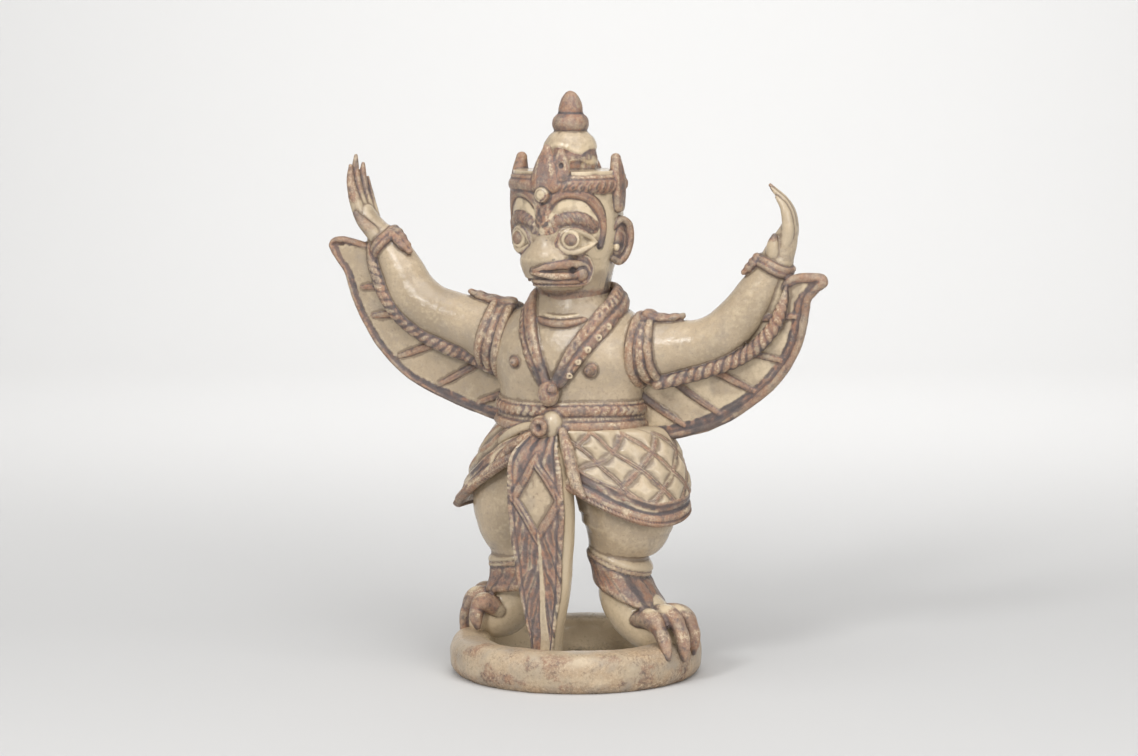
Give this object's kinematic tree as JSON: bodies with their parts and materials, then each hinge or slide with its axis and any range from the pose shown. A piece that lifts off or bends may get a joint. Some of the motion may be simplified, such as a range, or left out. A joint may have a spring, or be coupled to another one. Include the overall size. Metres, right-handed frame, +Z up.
{
  "type": "garuda figure",
  "caption": "Glazed stoneware figure of a bird-headed man with a crown and a flared skirt, arms and wings raised, standing on a plain ring base fired in one piece with it.",
  "frame": {"origin": "middle of the bounding box in X and Y, on the plane that the ring stands on", "axes": "+Z up, -Y towards the front of the figure, +X towards the figure's left hand"},
  "size_m": [0.3014, 0.1446, 0.328],
  "materials": {
    "glazed_stoneware": "glossy grey-green to cream ash glaze over iron-brown painting, unglazed pale clay at the ring's foot"
  },
  "bodies": {
    "root": {"garuda_figure": "glazed_stoneware"}
  },
  "joints": []
}
